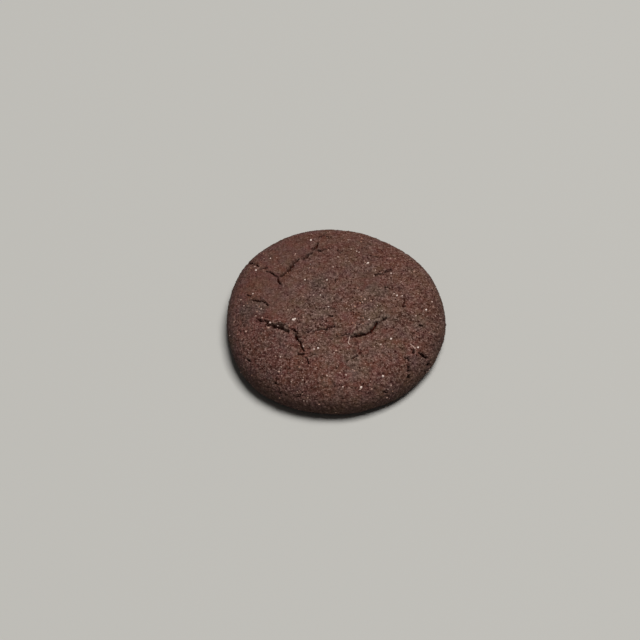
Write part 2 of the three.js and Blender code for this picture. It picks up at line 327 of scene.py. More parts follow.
class NodeSheet:
    """A node tree, with one way to add a node: its type, its settings, and its sockets' values or links."""

    def __init__(self, tree):
        self.tree = tree

    def add(self, kind, settings=None, sockets=None, output=0):
        node = self.tree.nodes.new(kind)
        for name, setting in (settings or {}).items():
            setattr(node, name, setting)
        for name, value in (sockets or {}).items():
            socket = usable(node.inputs, name)
            for part in value if isinstance(value, list) else [value]:
                if isinstance(part, Value):
                    self.tree.links.new(part.socket, socket)
                else:
                    socket.default_value = part
        return Value(self, usable(node.outputs, output)) if len(node.outputs) else node

    def math(self, operation, first, second):
        return self.add("ShaderNodeMath", {"operation": operation}, {0: first, 1: second})

    def vector(self, operation, first, second, output="Vector"):
        return self.add("ShaderNodeVectorMath", {"operation": operation}, {0: first, 1: second}, output)

    def scaled(self, vector, scale):
        return self.add("ShaderNodeVectorMath", {"operation": "SCALE"}, {0: vector, "Scale": scale})

    def fade(self, value, start, end, low=0.0, high=1.0):
        """Goes smoothly from low, where the value is start, to high, where it is end."""
        ends = {"Value": value, "From Min": start, "From Max": end, "To Min": low, "To Max": high}
        return self.add("ShaderNodeMapRange", {"interpolation_type": "SMOOTHSTEP"}, ends)

    def fade_mm(self, length, start, end, low=0.0, high=1.0):
        """A fade of a length, whose start and end are in millimetres."""
        return self.fade(length, start * MM, end * MM, low, high)

    def noise(self, place, size, seed, detail=1.0):
        """Smooth noise about 0, in lumps of a size."""
        sockets = {"Vector": place, "W": seed, "Scale": 1 / (size * MM), "Detail": detail}
        return self.add("ShaderNodeTexNoise", {"noise_dimensions": "4D"}, sockets) - NOISE_MEAN

    def strayed(self, place, *strays):
        """A place that strays to all sides, by about the reach of each stray, in waves of its size."""
        for size, seed, reach in strays:
            sockets = {"Vector": place, "W": seed, "Scale": 1 / (size * MM)}
            drawn = self.add("ShaderNodeTexNoise", {"noise_dimensions": "4D"}, sockets, "Color")
            centred = self.vector("SUBTRACT", drawn, (NOISE_MEAN, NOISE_MEAN, NOISE_MEAN))
            place = self.vector("ADD", place, self.scaled(centred, STRAY_GAIN * reach * MM))
        return place

    def cells(self, place, size):
        """Distance to the nearest of many scattered points, in cells of a size."""
        return self.add("ShaderNodeTexVoronoi", {}, {"Vector": place, "Scale": 1 / (size * MM)})

    def mixed(self, share, first, second):
        settings = {"data_type": "RGBA", "clamp_factor": True}
        return self.add("ShaderNodeMix", settings, {"Factor": share, "A": first, "B": second})

    def axis(self, place, name):
        return self.add("ShaderNodeSeparateXYZ", {}, {0: place}, name)

    def stored(self, shape, name, value, domain="POINT"):
        """The shape with a value kept on it under a name."""
        settings = {"data_type": "FLOAT", "domain": domain}
        sockets = {"Geometry": shape, "Name": name, "Value": value}
        return self.add("GeometryNodeStoreNamedAttribute", settings, sockets)

    def named(self, name):
        return self.add("GeometryNodeInputNamedAttribute", {"data_type": "FLOAT"}, {"Name": name})

    def shape_of(self, piece):
        return self.add("GeometryNodeObjectInfo", {}, {"Object": piece}, "Geometry")

    def drawn(self, low, high, seed):
        """A number, or three of them, drawn at random for each point."""
        kind = "FLOAT_VECTOR" if isinstance(high, tuple) else "FLOAT"
        sockets = {"Min": low, "Max": high, "Seed": seed}
        return self.add("FunctionNodeRandomValue", {"data_type": kind}, sockets)


def geometry_sheet(name, inputs):
    """A new Geometry Nodes tree with the given named inputs, and the value of its first input."""
    tree = bpy.data.node_groups.new(name, "GeometryNodeTree")
    tree.interface.new_socket("Geometry", in_out="INPUT", socket_type="NodeSocketGeometry")
    for input_name, kind in inputs.items():
        tree.interface.new_socket(input_name, in_out="INPUT", socket_type="NodeSocket" + kind)
    tree.interface.new_socket("Geometry", in_out="OUTPUT", socket_type="NodeSocketGeometry")
    sheet = NodeSheet(tree)
    return sheet, sheet.add("NodeGroupInput")


def close_sheet(sheet, shape, finish):
    """Ends a tree: instances made real, and the finish put on."""
    real = sheet.add("GeometryNodeRealizeInstances", {}, {"Geometry": shape})
    finished = sheet.add("GeometryNodeSetMaterial", {}, {"Geometry": real, "Material": finish})
    sheet.add("NodeGroupOutput", {}, {"Geometry": finished})


def shape_by(piece, sheet, values):
    """Runs a tree on a piece with the given inputs, and leaves the result as the piece's plain mesh."""
    modifier = piece.modifiers.new(sheet.tree.name, "NODES")
    modifier.node_group = sheet.tree
    for item in sheet.tree.interface.items_tree:
        if item.in_out == "INPUT" and item.name in values:
            modifier[item.identifier] = values[item.name]
    evaluated = piece.evaluated_get(bpy.context.evaluated_depsgraph_get())
    mesh = bpy.data.meshes.new_from_object(evaluated)
    piece.modifiers.clear()
    piece.data = mesh
    return piece


def new_piece(name, data=None):
    piece = bpy.data.objects.new(name, data or bpy.data.meshes.new(name))
    bpy.context.scene.collection.objects.link(piece)
    return piece


# Outline and section

def outline_radius(angle):
    waves = (rise * np.cos(count * (angle - radians(crest))) for count, rise, crest in OUTLINE_WAVES)
    return MEAN_RADIUS + sum(waves)


def dome_height(share):
    return WIDEST_AT + (HEIGHT - WIDEST_AT) * np.sqrt(1 - share**DOME_POWER)


def underside_height(share):
    return WIDEST_AT - (WIDEST_AT + BELLY_DROP) * np.sqrt(1 - share**UNDERSIDE_POWER)


def surface_points(places):
    """Points on the smooth dome over rows that start with x and y."""
    x, y = places[:, 0], places[:, 1]
    share = np.minimum(np.hypot(x, y) / outline_radius(np.arctan2(y, x)), 1)
    return np.column_stack((x, y, dome_height(share)))


def section_rings(count):
    """Shares of the radius and heights, evenly spaced along the section from the top's middle to the base."""
    turn = np.linspace(0, FULL_TURN / 4, SECTION_STEPS)
    over, under = np.sin(turn), np.sin(turn[::-1])
    share = np.concatenate((over, under))
    height = np.concatenate((dome_height(over), underside_height(under)))
    last = int(np.argmax(height < 0))
    share, height = share[:last], height[:last]
    steps = np.hypot(np.diff(share) * MEAN_RADIUS, np.diff(height))
    along = np.concatenate(([0], np.cumsum(steps)))
    evenly = np.linspace(0, along[-1], count + 1)
    shares, heights = np.interp(evenly, along, share), np.interp(evenly, along, height)
    heights[-1] = 0
    return shares, heights


# Mesh of the crust before its relief

def ring_start(ring):
    """Number of the first point of a ring, where ring 0 is the middle point alone."""
    return 1 + RING_GROWTH * ring * (ring - 1) // 2 if ring else 0


def disc_triangles(rings):
    """Triangles of a disc of rings."""
    triangles = []
    for ring in range(rings):
        inner_size, outer_size = max(RING_GROWTH * ring, 1), RING_GROWTH * (ring + 1)
        inner, outer = ring_start(ring), ring_start(ring + 1)
        for sector in range(RING_GROWTH):
            for step in range(ring + 1):
                near = inner + (sector * ring + step) % inner_size
                far = sector * (ring + 1) + step
                far_next = outer + (far + 1) % outer_size
                triangles.append((near, outer + far, far_next))
                if step < ring:
                    triangles.append((near, far_next, inner + (sector * ring + step + 1) % inner_size))
    return triangles


def disc_points(shares, heights, draw):
    """Points of a disc of rings, each drawn out to the outline and strayed a little along its ring."""
    points = [(0.0, 0.0, heights[0])]
    for ring in range(1, len(shares)):
        count = RING_GROWTH * ring
        stray = draw.uniform(-1, 1, count) * MESH_STRAY / MEAN_RADIUS
        angle = np.arange(count) * FULL_TURN / count + stray
        radius = shares[ring] * outline_radius(angle)
        points.extend(zip(radius * np.cos(angle), radius * np.sin(angle), np.full(count, heights[ring])))
    return points


def underside_strip(top_rim, under_rim):
    """Triangles between the top's last ring and the underside's, which has a third as many points."""
    triangles = []
    under_size = RING_GROWTH * UNDERSIDE_RINGS
    rim_size = RIM_STEPS * under_size
    for step in range(under_size):
        rim = [top_rim + (RIM_STEPS * step + i) % rim_size for i in range(RIM_STEPS + 1)]
        under, under_next = under_rim + step, under_rim + (step + 1) % under_size
        triangles += [(rim[0], rim[1], under), (rim[1], under_next, under)]
        triangles += [(rim[1], rim[2], under_next), (rim[2], rim[3], under_next)]
    return triangles


def crust_blank():
    """The smooth biscuit as one closed mesh, in millimetres from the outline's own middle."""
    draw = np.random.default_rng(MESH_SEED)
    shares, heights = section_rings(TOP_RINGS)
    points = disc_points(shares, heights, draw)
    triangles = disc_triangles(TOP_RINGS)
    first_under = len(points)
    under_shares = np.linspace(0, shares[-1] * (1 - UNDERSIDE_INSET / UNDERSIDE_RINGS), UNDERSIDE_RINGS + 1)
    points += disc_points(under_shares, np.zeros(UNDERSIDE_RINGS + 1), draw)
    triangles += [tuple(first_under + i for i in reversed(t)) for t in disc_triangles(UNDERSIDE_RINGS)]
    triangles += underside_strip(ring_start(TOP_RINGS), first_under + ring_start(UNDERSIDE_RINGS))
    mesh = bpy.data.meshes.new("cookie_crust")
    mesh.from_pydata([tuple(map(float, point)) for point in points], [], triangles)
    return mesh


def crack_line():
    """Points along every crack, with the slit's and the wall's widths and the wall's rise at each."""
    rows = []
    for wall, rise, bends in CRACKS:
        for start, end in zip(bends, bends[1:]):
            runs = max(1, round(np.hypot(end[0] - start[0], end[1] - start[1]) / CRACK_SPACING))
            along = np.arange(runs)[:, None] / runs
            places = np.array([start]) * (1 - along) + np.array([end]) * along
            rows.append(np.column_stack((places, np.full(runs, wall), np.full(runs, rise))))
    rows = np.concatenate(rows)
    return surface_points(rows), dict(zip(("slit", "wall", "rise"), rows[:, 2:].T * MM))


def refine_near(mesh, points):
    """Halves the mesh's edges that lie in each band along the cracks."""
    tree = KDTree(len(points))
    for number, point in enumerate(points):
        tree.insert(point, number)
    tree.balance()
    shell = bmesh.new()
    shell.from_mesh(mesh)
    for band in CRACK_BANDS:
        near = {vert for vert in shell.verts if tree.find(vert.co)[2] < band}
        edges = [edge for edge in shell.edges if all(vert in near for vert in edge.verts)]
        bmesh.ops.subdivide_edges(shell, edges=edges, cuts=1, use_grid_fill=True)
        bmesh.ops.triangulate(shell, faces=[face for face in shell.faces if len(face.verts) > 3])
    bmesh.ops.recalc_face_normals(shell, faces=shell.faces)
    shell.to_mesh(mesh)
    shell.free()


def placed(mesh, shift):
    """Moves a mesh from the outline's frame in millimetres to the part's frame in metres."""
    mesh.transform(Matrix.Translation(shift) @ Matrix.Scale(MM, 4))
    return mesh


# Relief of the crust

CRUST_LENGTHS = {
    "Slit depth": SLIT_DEPTH, "Flake drop": FLAKE_DROP, "Flake roughness": FLAKE_ROUGHNESS,
    "Lump rise": LUMP_RISE, "Knob rise": KNOB_RISE, "Crumb rise": CRUMB_RISE, "Pore depth": PORE_DEPTH,
}
CRUST_INPUTS = {
    "Cracks": "Object", "Depth per width": "Float", "Flake corner": "Vector", "Finish": "Material",
    **dict.fromkeys(CRUST_LENGTHS, "Float"),
}

# Grains of the crust: the stray of their cells in shares of their size, and their rise in the middle
GRAIN_WAVE, GRAIN_SEED, GRAIN_REACH = 0.8, 7, 0.15
GRAIN_CROWN = 0.3

# Shares of its radius at which a patch begins and is full
PATCH_BEGINS, PATCH_FULL = 1.3, 0.3

# Cracks: how their width varies, how they wander, how far grit breaks off along them, and the fades of the
# slit, its far side, the wall there and how pale that wall is for its width
WIDTH_NOISE, WIDTH_FADE = (1.7, 4), (-0.12, 0.12, 0.75, 1.2)
CRACK_STRAYS = ((2.6, 5, 0.15), (0.8, 6, 0.12), (0.4, 15, 0.07))
GRIT_BREAKS = 0.3
SLIT_FADE = (1.1, 0.4)
FAR_SIDE_FADE = (-0.1, 0.2)
WALL_FADE = (1.0, 0.2)
PALE_WALL_FADE = (0.5, 1.3)

# Flaked patch: its ragged edges to the side and the back, its bumps, and the height at which they begin
FLAKE_STRAYS = ((2.4, 8, 0.7), (0.8, 10, 0.25))
FLAKE_SIDE_FADE, FLAKE_BACK_FADE = (-0.5, 0.7), (0.5, -0.7)
FLAKE_NOISE = (1.4, 14, 2.0)
FLAKE_HEIGHT_FADE = (9, 13)

# Coarseness: the way it grows, how its border drifts, how it goes with place and with height, and what the
# rough and smooth patches add and take away
COARSE_HEADING = (0.5, -0.85, 0)
COARSE_NOISE, COARSE_DRIFT, BORDER_DRIFT = (5, 1, 2.0), 16, 2
COARSE_FADE = (-28, 6, 0.62, 1.0)
COARSE_HEIGHT_FADE = (5, 12.5, 0.7, 1.0)
ROUGH_GAIN, SMOOTH_LOSS = 0.15, 0.4

# Heights over which the underside turns into the side, the last stray of the whole surface, the edge of a
# pore, and the lowest place, which limits the height alone
SIDE_FADE = (0.1, 1.5)
CRUST_STRAY = (0.7, 13, 0.06)
PORE_FADE = (0.35, 0.05)
LOWEST_PLACE = (-1, -1, 0)

# Loose grains: the clumps that they lie in, and how much fewer there are in slits and on the flaked patch
CLUMP_NOISE, CLUMP_FADE = (3.0, 9), (-0.12, 0.1, 0.35, 1.0)
SLIT_CLEARS, FLAKE_CLEARS = 0.7, 0.6


def grain_cells(sheet, place, size):
    """Cells of the grains of a size that the crust is made of."""
    return sheet.cells(sheet.strayed(place, (GRAIN_WAVE * size, GRAIN_SEED, GRAIN_REACH * size)), size)


def rounded(cell):
    """Height of a round grain in each cell, about 0: its top is in the middle, with a crease all round."""
    return GRAIN_CROWN - cell * cell


def patch_share(sheet, place, patches, shift, drift):
    """How far inside any of some round patches of the top each point lies, from 0 to 1."""
    share = 0.0
    for x, y, radius in patches:
        middle = Vector((x, y, HEIGHT)) * MM + shift
        away = sheet.vector("DISTANCE", place, middle, "Value") + drift
        inside = sheet.fade_mm(away, radius * PATCH_BEGINS, radius * PATCH_FULL)
        share = sheet.math("MAXIMUM", share, inside)
    return share


def sampled(sheet, line, value, nearest, kind="FLOAT"):
    """A value of the crack line at its point that is nearest."""
    sockets = {"Geometry": line, "Value": value, "Index": nearest}
    return sheet.add("GeometryNodeSampleIndex", {"data_type": kind}, sockets)


def crack_marks(sheet, start, place):
    """How far into a slit, and onto a wide wall on its far side, each point lies, and how deep both cut."""
    line = sheet.shape_of(start.also("Cracks"))
    nearest = sheet.add("GeometryNodeSampleNearest", {}, {"Geometry": line, "Sample Position": place})
    foot = sampled(sheet, line, sheet.add("GeometryNodeInputPosition"), nearest, "FLOAT_VECTOR")
    width, wall_width, wall_rise = (
        sampled(sheet, line, sheet.named(name), nearest) for name in ("slit", "wall", "rise"))
    width = width * sheet.fade(sheet.noise(place, *WIDTH_NOISE), *WIDTH_FADE)
    grit_away = sheet.vector("SUBTRACT", sheet.cells(place, GRIT_SIZE).also("Position"), place)
    wandering = sheet.strayed(place, *CRACK_STRAYS)
    crumbling = sheet.vector("ADD", wandering, sheet.scaled(grit_away, GRIT_BREAKS))
    distance = sheet.vector("DISTANCE", crumbling, foot, "Value")
    past_foot = sheet.axis(sheet.vector("SUBTRACT", crumbling, foot), "Y")
    reach = width * HALF_SLIT + THINNEST_SLIT * MM
    slit = sheet.fade(distance / reach, *SLIT_FADE)
    wall = sheet.fade((distance - reach) / wall_width, *WALL_FADE) * sheet.fade_mm(past_foot, *FAR_SIDE_FADE)
    cut = slit * (start.also("Slit depth") + width * start.also("Depth per width"))
    pale = wall * sheet.fade_mm(wall_width, *PALE_WALL_FADE)
    return slit, pale, cut - wall * wall_rise


def crust_sheet(shift):
    """A tree that gives the smooth biscuit its relief, and marks zones for the finish and the grains."""
    sheet, start = geometry_sheet("crust relief", CRUST_INPUTS)
    place = sheet.add("GeometryNodeInputPosition")
    normal = sheet.add("GeometryNodeInputNormal")
    height = sheet.axis(place, "Z")
    raised = sheet.fade_mm(height, *SIDE_FADE)

    # Flaked patch at the front right
    past_corner = sheet.vector("SUBTRACT", sheet.strayed(place, *FLAKE_STRAYS), start.also("Flake corner"))
    past_side = sheet.fade_mm(sheet.axis(past_corner, "X"), *FLAKE_SIDE_FADE)
    past_back = sheet.fade_mm(sheet.axis(past_corner, "Y"), *FLAKE_BACK_FADE)
    flake = past_side * past_back * raised

    # Coarser towards the front and right and in rough patches, smoother in smooth patches and down the side
    front_right = sheet.vector("DOT_PRODUCT", place, COARSE_HEADING, "Value")
    drift = sheet.noise(place, *COARSE_NOISE) * (COARSE_DRIFT * MM)
    coarse = sheet.fade_mm(front_right + drift * BORDER_DRIFT, *COARSE_FADE)
    coarse = coarse + ROUGH_GAIN * patch_share(sheet, place, ROUGH_PATCHES, shift, drift)
    coarse = coarse * (1 - SMOOTH_LOSS * patch_share(sheet, place, SMOOTH_PATCHES, shift, drift))
    coarse = coarse * sheet.fade_mm(height, *COARSE_HEIGHT_FADE)

    slit, wall, cut = crack_marks(sheet, start, place)
    lumps = sheet.noise(place, *LUMP_NOISE) * start.also("Lump rise")
    knobs = sheet.noise(place, *KNOB_NOISE) * start.also("Knob rise")
    crumbs = rounded(grain_cells(sheet, place, CRUMB_SIZE)) * start.also("Crumb rise")
    bumps = sheet.noise(place, *FLAKE_NOISE) * start.also("Flake roughness") - start.also("Flake drop")
    bumps = bumps * sheet.fade_mm(height, *FLAKE_HEIGHT_FADE)
    relief = raised * (lumps + coarse * (knobs + crumbs)) - cut + flake * bumps
    moved = sheet.strayed(sheet.vector("ADD", place, sheet.scaled(normal, relief)), CRUST_STRAY)

    # Pores in the underside, which stays flat
    pores = sheet.fade(sheet.cells(place, PORE_SIZE), *PORE_FADE) * start.also("Pore depth") * (1 - raised)
    moved = sheet.vector("ADD", moved, sheet.add("ShaderNodeCombineXYZ", {}, {"Z": pores}))
    moved = sheet.vector("MAXIMUM", moved, LOWEST_PLACE)

    clumps = sheet.fade(sheet.noise(place, *CLUMP_NOISE), *CLUMP_FADE)
    grainy = coarse * raised * clumps * (1 - SLIT_CLEARS * slit) * (1 - FLAKE_CLEARS * flake)
    marks = {"slit": slit, "wall": wall, "flake": flake, "coarse": coarse, "grainy": grainy}
    marked = sheet.add("GeometryNodeStoreNamedAttribute", {"data_type": "FLOAT_VECTOR"},
                       {"Geometry": start, "Name": "rest", "Value": place})
    for name, value in marks.items():
        marked = sheet.stored(marked, name, value)
    shape = sheet.add("GeometryNodeSetPosition", {}, {"Geometry": marked, "Position": moved})
    smooth = sheet.add("GeometryNodeSetShadeSmooth", {}, {"Geometry": shape})
    close_sheet(sheet, smooth, start.also("Finish"))
    return sheet


def store_values(mesh, columns):
    """Keeps a column of values on a mesh's points under each name."""
    for name, values in columns.items():
        mesh.attributes.new(name, "FLOAT", "POINT").data.foreach_set("value", values.astype(np.float32))


def make_crust(shift, finish):
    points, sizes = crack_line()
    blank = crust_blank()
    refine_near(blank, points)
    crust = new_piece("cookie_crust", placed(blank, shift))
    line_mesh = bpy.data.meshes.new("crack_line")
    line_mesh.from_pydata(points.tolist(), [], [])
    store_values(line_mesh, sizes)
    line = new_piece("crack_line", placed(line_mesh, shift))
    corner = Vector((*FLAKE_CORNER, 0)) * MM + shift
    lengths = {name: length * MM for name, length in CRUST_LENGTHS.items()}
    shape_by(crust, crust_sheet(shift), {
        **lengths, "Cracks": line, "Depth per width": DEPTH_PER_WIDTH, "Flake corner": corner,
        "Finish": finish})
    bpy.data.objects.remove(line)
    return crust


# Crumbs, grit and sugar on the crust

GRAIN_INPUTS = {
    "Crust": "Object", "Extra": "Object", "Grain": "Object", "Smooth": "Bool", "Finish": "Material",
    **dict.fromkeys(GRAIN_SIZES, "Float"), "Seed": "Int",
}

# Grains: what each draw adds to the seed, the palest of the scattered ones, the stray that ruffles them,
# half of a grain's width before it is sized, and a crystal's bevel
TURN_DRAW, SHAPE_DRAW, TONE_DRAW, PALE_DRAW = 1, 2, 3, 4
PALEST_SCATTERED = 0.45
RUFFLE_STRAY = (0.35, 12, 0.25)
HALF_GRAIN = 0.5
CRYSTAL_BEVEL = 0.2


def grain_sheet():
    """A tree that stands copies of one grain on the crust and at extra points, turned and sized at random."""
    sheet, start = geometry_sheet("grains", GRAIN_INPUTS)
    seed = start.also("Seed")
    points = sheet.add("GeometryNodeDistributePointsOnFaces", {"distribute_method": "POISSON"}, {
        "Mesh": sheet.shape_of(start.also("Crust")), "Distance Min": start.also("Spacing"),
        "Density Max": start.also("Density"), "Density Factor": sheet.named("grainy"), "Seed": seed})
    chance = sheet.drawn(0.0, 1.0, seed)
    size = start.also("Smallest") + (start.also("Largest") - start.also("Smallest")) * chance * chance
    sunk = sheet.add("GeometryNodeSetPosition", {}, {
        "Geometry": points, "Offset": sheet.scaled(points.also("Normal"), size * -SINK)})
    pale = sheet.drawn(0.0, PALEST_SCATTERED, seed + PALE_DRAW)
    scattered = sheet.stored(sheet.stored(sunk, "size", size), "pale", pale)
    extra = sheet.add("GeometryNodeMeshToPoints", {}, {"Mesh": sheet.shape_of(start.also("Extra"))})
    every = sheet.add("GeometryNodeJoinGeometry", {}, {"Geometry": [scattered, extra]})

    turn = sheet.drawn((0, 0, 0), (FULL_TURN, FULL_TURN, FULL_TURN), seed + TURN_DRAW)
    thinned = sheet.drawn((0, 0, 0), (1, 1, 1), seed + SHAPE_DRAW)
    evened = sheet.vector("ADD", sheet.scaled(thinned, 1 - start.also("Flattest")), sheet.add(
        "ShaderNodeCombineXYZ", {}, {axis: start.also("Flattest") for axis in "XYZ"}))
    grains = sheet.add("GeometryNodeInstanceOnPoints", {}, {
        "Points": every, "Instance": sheet.shape_of(start.also("Grain")), "Rotation": turn,
        "Scale": sheet.scaled(evened, sheet.named("size"))})
    toned = sheet.stored(grains, "tone", sheet.drawn(0.0, 1.0, seed + TONE_DRAW), "INSTANCE")
    real = sheet.add("GeometryNodeRealizeInstances", {}, {"Geometry": toned})
    place = sheet.add("GeometryNodeInputPosition")
    away = sheet.vector("SUBTRACT", sheet.strayed(place, RUFFLE_STRAY), place)
    ruffled = sheet.add("GeometryNodeSetPosition", {}, {
        "Geometry": real, "Offset": sheet.scaled(away, start.also("Ruffle"))})
    shaded = sheet.add("GeometryNodeSetShadeSmooth", {}, {
        "Geometry": ruffled, "Shade Smooth": start.also("Smooth")})
    close_sheet(sheet, shaded, start.also("Finish"))
    return sheet


def one_grain(shape):
    """One grain of width 1, to be sized: an eight-sided bit of grit, a twenty-sided crumb or a crystal."""
    shell = bmesh.new()
    if shape == "crystal":
        bmesh.ops.create_cube(shell, size=2 * HALF_GRAIN)
        edges = shell.edges[:] + shell.verts[:]
        bmesh.ops.bevel(shell, geom=edges, offset=CRYSTAL_BEVEL, segments=1, affect="EDGES")
    elif shape == "crumb":
        bmesh.ops.create_icosphere(shell, subdivisions=1, radius=HALF_GRAIN)
    else:
        axes = (Vector((1, 0, 0)), Vector((0, 1, 0)), Vector((0, 0, 1)))
        tips = [axis * side * HALF_GRAIN for axis in axes for side in (1, -1)]
        bmesh.ops.convex_hull(shell, input=[shell.verts.new(tip) for tip in tips])
    mesh = bpy.data.meshes.new(shape)
    shell.to_mesh(mesh)
    shell.free()
    return new_piece(shape, mesh)


def make_grains(name, shape, sheet, crust, finish, sizes, extra=None):
    """A piece of many grains of one kind on the crust."""
    grain = one_grain(shape)
    lengths = {size: sizes[size] * MM for size in ("Spacing", "Smallest", "Largest")}
    grains = shape_by(new_piece(name), sheet, {
        **sizes, **lengths, "Density": sizes["Density"] / MM**2, "Smooth": shape != "crystal",
        "Crust": crust, "Extra": extra, "Grain": grain, "Finish": finish})
    bpy.data.objects.remove(grain)
    return grains


def sliver_rows():
    """Crystals strung along each sliver, in rows like those of the bright sugar."""
    rows = []
    for bends in SUGAR_SLIVERS:
        for (x0, y0), (x1, y1) in zip(bends, bends[1:]):
            for along in np.arange(0, 1, SLIVER_SPACING / np.hypot(x1 - x0, y1 - y0)):
                rows.append((x0 + (x1 - x0) * along, y0 + (y1 - y0) * along, SLIVER_SIZE, SLIVER_PALENESS))
    return rows


def bright_sugar_points(crust, shift):
    """Points with sizes and palenesses where the bright crystals sit on the finished crust."""
    rows = np.array([*BRIGHT_SUGAR, *sliver_rows()])
    over = [Vector((x, y, 2 * HEIGHT)) * MM + shift for x, y in rows[:, :2]]
    hits = [crust.ray_cast(point, Vector((0, 0, -1)))[1] for point in over]
    mesh = bpy.data.meshes.new("bright_sugar")
    mesh.from_pydata([tuple(hit) for hit in hits], [], [])
    store_values(mesh, {"size": rows[:, 2] * MM, "pale": rows[:, 3]})
    return new_piece("bright_sugar", mesh)


# Finishes

# Colour of the crust: the drift of its borders, the fade to red outwards, blotches that grow to the front,
# and what the red and brown patches add and take away
COLOUR_NOISE, PATCH_DRIFT, RED_DRIFT = (6, 21, 3.0), 14, 50
RED_FADE = (14, 42, 0.36, 0.74)
BLOTCH_NOISE, BLOTCH_FADE = (3.0, 22), (5, -22, 2.2, 4.2)
RED_GAIN, BROWN_LOSS = 0.5, 0.45

# Heights over which the rim's colour begins, the flaked patch shows its own, and the colour darkens as
# painted shade towards the base
RIM_FADE = (13, 7)
BARED_FADE, BARED_SHARE = (7, 11.5), 0.9
FOOT_SHADE_FADE = (3, 12.5, 0.5, 1.0)

# Tint from mauve to olive: its noise, how far that and each metre to the right shift it, and its middle;
# the shift to the right is painted light, cooler on the left and warmer on the right
TINT_NOISE, TINT_SPREAD, WARM_LIGHT_TINT_PER_METRE, TINT_MIDDLE = (4.2, 26), 2.4, 4, 0.5

# How much darker a dark patch is, and how much each metre to the back darkens; both are painted shade,
# though some dark patches are the crust's own darker tone
DARK_AND_SHADE_LOSS = 0.33
BACK_SHADE_PER_METRE = 3

# Grain of the crust: which cells are pitted and a pit's edge, the edges of crumbs and grit, their creases,
# spots on the flaked patch, the share of each in the tone, and the tone that they are added to. The darker
# pits and creases are painted shade
DRAWN_MEAN = 0.5
PITTED_FADE, PIT_FADE = (0.6, 0.85), (0.65, 0.15)
CRUMB_FADE, GRIT_FADE = (0.9, 0.4), (0.9, 0.2)
CRUMB_CREASE_SHADE, GRIT_CREASE_SHADE = (0.5, 0.9), (0.4, 0.85)
SPOT_NOISE, SPOT_FADE = (1.1, 27), (0.0, 0.12)
CRUMB_TONE, DUST_TONE, CREASE_SHADE_TONE, SPOT_TONE, BASE_TONE = 0.4, 1.4, 0.38, 0.35, 0.21

# Pale crumb on the cracks' walls: how grit and noise break it up, where it begins, and how pale it is
WALL_NOISE, WALL_GRIT, WALL_SPREAD = (0.9, 28, 2.0), 0.6, 1.6
WALL_PATCH_FADE, WALL_SHARE_FADE, WALL_PALENESS = (0.2, 1.0), (0.0, 0.4), 0.8

# Hue and tone of the loose grains
HUE_NOISE, HUE_SPREAD, HUE_MIDDLE = (0.9, 33), 2, 0.5
LOOSE_TONE_MEAN, LOOSE_TONE_SPREAD = 0.58, 1.25
LOOSE_NOISE = (0.2, 31, 2.0)

# For the crust and the loose grains, the strength and depth of the bump, and the roughness as its mean,
# spread and noise; then the heights over which tones strengthen, and the fade to deep brown in the slits,
# which is partly the crumb's own colour and partly painted shade
CRUST_BUMP, LOOSE_BUMP = (0.8, 1.0), (0.5, 0.1)
CRUST_ROUGHNESS, LOOSE_ROUGHNESS = (0.84, 0.25, (0.8, 25)), (0.78, 0.3, (0.6, 32))
BUMP_CRUMB_SHARE = 0.5
TONE_HEIGHT_FADE = (4, 12.5, 0.45, 1.0)
SLIT_SHADE_FADE = (0.3, 0.85)

SUGAR_ROUGHNESS, SUGAR_ROUGHNESS_SPREAD = 0.15, 0.25
FLOOR_ROUGHNESS = 0.8
CRUST_SHEEN, SUGAR_SHEEN, FLOOR_SHEEN = 0.15, 0.6, 0.2


def new_finish(name):
    material = bpy.data.materials.new(name)
    material.use_nodes = True
    material.node_tree.nodes.clear()
    return material, NodeSheet(material.node_tree)


def attribute(sheet, name):
    return sheet.add("ShaderNodeAttribute", {"attribute_name": name}, {}, "Fac")


def close_finish(sheet, sockets):
    shader = sheet.add("ShaderNodeBsdfPrincipled", {}, sockets)
    sheet.add("ShaderNodeOutputMaterial", {}, {"Surface": shader})


